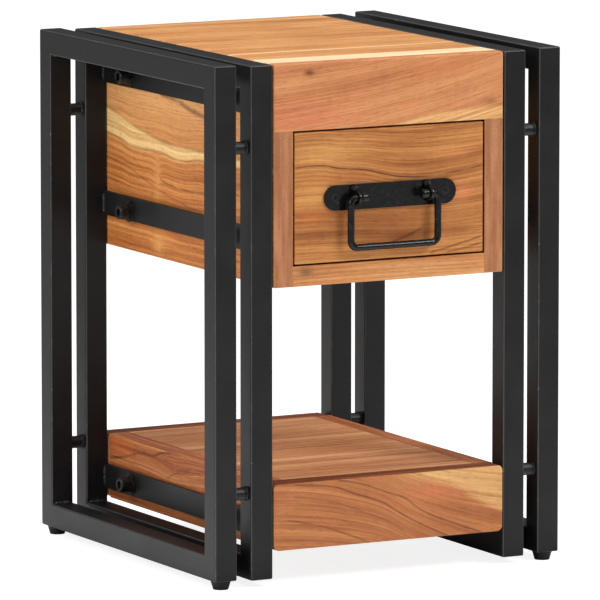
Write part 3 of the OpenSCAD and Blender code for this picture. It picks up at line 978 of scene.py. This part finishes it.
case = ["case_left_side", "case_right_side", "case_top_panel", "case_front_rail",
        "case_bottom_panel", "case_back_panel"]
shelf = ["shelf_front_apron", "shelf_back_apron", "shelf_left_apron", "shelf_right_apron",
         "shelf_panel"]
side_material = side_wood()
apron_material = apron_wood()
shelf_side_material = shelf_side_wood()
inside_wood = wood("acacia_inside", "y", "z", WOOD_TONES["inside"], seed=52.0)
inside_cross_wood = wood("acacia_inside_cross", "x", "z", WOOD_TONES["inside"], seed=57.0)
case_boards = [
    ("case_top_panel", top_wood(), "top_wood"),
    ("case_front_rail", rail_wood(), "rail_wood"),
    ("case_left_side", side_material, "case_wood"),
    ("case_right_side", side_material, "case_wood"),
    ("case_bottom_panel", bottom_wood(), "case_wood"),
    ("case_back_panel", inside_cross_wood, "hidden_wood"),
]
shelf_boards = [
    ("shelf_front_apron", apron_material, "shelf_apron_wood"),
    ("shelf_back_apron", apron_material, "shelf_apron_wood"),
    ("shelf_left_apron", shelf_side_material, "shelf_apron_wood"),
    ("shelf_right_apron", shelf_side_material, "shelf_apron_wood"),
    ("shelf_panel", shelf_wood(), "shelf_panel_wood"),
]
hidden_boards = [
    ("left_kicker", inside_wood, "table"), ("right_kicker", inside_wood, "table"),
    ("drawer_stop_bar", inside_cross_wood, "table"),
    ("drawer_left_side", inside_wood, "drawer"), ("drawer_right_side", inside_wood, "drawer"),
    ("drawer_back", inside_cross_wood, "drawer"), ("drawer_bottom", inside_cross_wood, "drawer"),
]
for node, material, slot in case_boards:
    board(node, case, material, "table", slot)
for node, material, slot in shelf_boards:
    board(node, shelf, material, "table", slot, arris=SHELF_ARRIS)
for node, material, body in hidden_boards:
    board(node, [node], material, body, "hidden_wood", arris=0.8 * MM)
board("drawer_front", ["drawer_front"], drawer_wood(), "drawer", "drawer_front_wood",
      arris=0.9 * MM)

socket_bolts(steel)
refined("handle_plate", iron, "drawer", "handle_iron", 0.8 * MM)
refined("handle_lugs", iron, "drawer", "handle_iron", 0.8 * MM)
lug_welds(iron)
forged_bail(iron)

brass_material = brass()
glide_material = glide_plastic()
for node, material in [
    ("spring_washers", steel), ("flat_washers", steel), ("threaded_inserts", brass_material),
    ("handle_screws", steel), ("left_frame_spacers", coat), ("right_frame_spacers", coat),
    ("front_left_glide", glide_material), ("front_right_glide", glide_material),
    ("back_left_glide", glide_material), ("back_right_glide", glide_material),
]:
    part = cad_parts[node]
    part.data.materials.clear()
    part.data.materials.append(material)


# ---------------------------------------------------------------- floor, light and camera


POOL_RADIUS = 1.3
SHADOW_CORE = 0.19  # Half width of the painted shadow under the table in the floor's glow, in metres.
SHADOW_EDGE = 0.24
POOL_GLOW = 0.85
FAR_GLOW = 0.35
SEEN_GLOW = 0.86
FLOOR_REACH = 60.0
SKY_HEIGHTS = (0.2, 0.8)    # Between these heights of the sky its strength goes from
SKY_STRENGTHS = (0.08, 0.7)    # the first of these to the second.
LAMP_AIM = (0, 0, 0.3)


def white_floor():
    """A wide plain floor, which is also all that is seen behind the table. Seen by the camera it
    is evenly white; to what it lights and is mirrored in, it glows as a painted pool of light
    near the table, with a painted shadow under the table."""
    shade = Shade("white_floor")
    x, y, _ = shade.place()
    grain = shade.noise(shade.vector(x, y, 0.0), scale=40.0)
    colour = shade.ramp(grain, [(0.3, rgb(166, 166, 166)), (0.7, rgb(172, 172, 172))])
    off_middle = x.size().math("MAXIMUM", y.size())
    shadow = (off_middle * -1.0).step(-SHADOW_EDGE, -SHADOW_CORE)
    pool = ((x * x + y * y) / -(POOL_RADIUS ** 2)).math("EXPONENT")
    seen = shade.add("LightPath", {}, output="Is Camera Ray")
    lit = shadow * -1.0 + 1.0
    unseen = seen * -1.0 + 1.0
    glow = seen * SEEN_GLOW + (pool * POOL_GLOW + FAR_GLOW) * lit * unseen
    ends = (-FLOOR_REACH, FLOOR_REACH)
    corners = [(ends[0], ends[0], 0), (ends[1], ends[0], 0), (ends[1], ends[1], 0),
               (ends[0], ends[1], 0)]
    mesh = bpy.data.meshes.new("floor")
    mesh.from_pydata(corners, [], [(0, 1, 2, 3)])
    mesh.materials.append(shade.finish(
        Base_Color=colour, Roughness=0.9, Emission_Color=(1, 1, 1, 1), Emission_Strength=glow))
    floor = bpy.data.objects.new("floor", mesh)
    bpy.context.scene.collection.objects.link(floor)


def area_light(name, place, size, power):
    """A round white lamp, aimed at the middle of the table."""
    data = bpy.data.lights.new(name, "AREA")
    data.shape = "DISK"
    data.size = size
    data.energy = power
    light = bpy.data.objects.new(name, data)
    light.location = place
    light.rotation_mode = "QUATERNION"
    light.rotation_quaternion = (Vector(place) - Vector(LAMP_AIM)).to_track_quat("Z", "Y")
    bpy.context.scene.collection.objects.link(light)


def studio():
    """Three lamps, and a sky that is dark at the horizon and bright overhead."""
    world = bpy.data.worlds.new("studio")
    world.use_nodes = True
    sky = world.node_tree.nodes["Background"]
    sky.inputs["Color"].default_value = (1.0, 1.0, 1.0, 1.0)
    nodes, links = world.node_tree.nodes, world.node_tree.links
    place = nodes.new("ShaderNodeTexCoord")
    parts = nodes.new("ShaderNodeSeparateXYZ")
    height = nodes.new("ShaderNodeMapRange")
    height.interpolation_type = "SMOOTHSTEP"
    for socket, value in zip(height.inputs[1:5], (*SKY_HEIGHTS, *SKY_STRENGTHS)):
        socket.default_value = value
    links.new(place.outputs["Generated"], parts.inputs[0])
    links.new(parts.outputs["Z"], height.inputs[0])
    links.new(height.outputs[0], sky.inputs["Strength"])
    bpy.context.scene.world = world
    area_light("key", (1.5, -2.4, 2.3), size=1.1, power=50)
    area_light("side", (-2.8, -0.6, 1.6), size=1.6, power=38)
    area_light("overhead", (0.0, 0.3, 3.0), size=2.0, power=27)


def camera():
    """The camera stands well back with a long lens, a little above the table and to its left."""
    azimuth, elevation = math.radians(-27.94), math.radians(8.14)
    aim = Vector((0.0019, 0.0066, 0.2601))
    distance = 8.232
    level = math.cos(elevation)
    back = Vector((math.sin(azimuth) * level, -math.cos(azimuth) * level, math.sin(elevation)))
    data = bpy.data.cameras.new("camera")
    data.sensor_width = 36
    data.lens = 474.1
    data.clip_start = 0.1
    data.clip_end = 200
    eye = bpy.data.objects.new("camera", data)
    eye.location = aim + back * distance
    eye.rotation_mode = "QUATERNION"
    eye.rotation_quaternion = (-back).to_track_quat("-Z", "Y")
    bpy.context.scene.collection.objects.link(eye)
    bpy.context.scene.camera = eye


white_floor()
studio()
camera()
bpy.context.scene.view_settings.view_transform = "Standard"
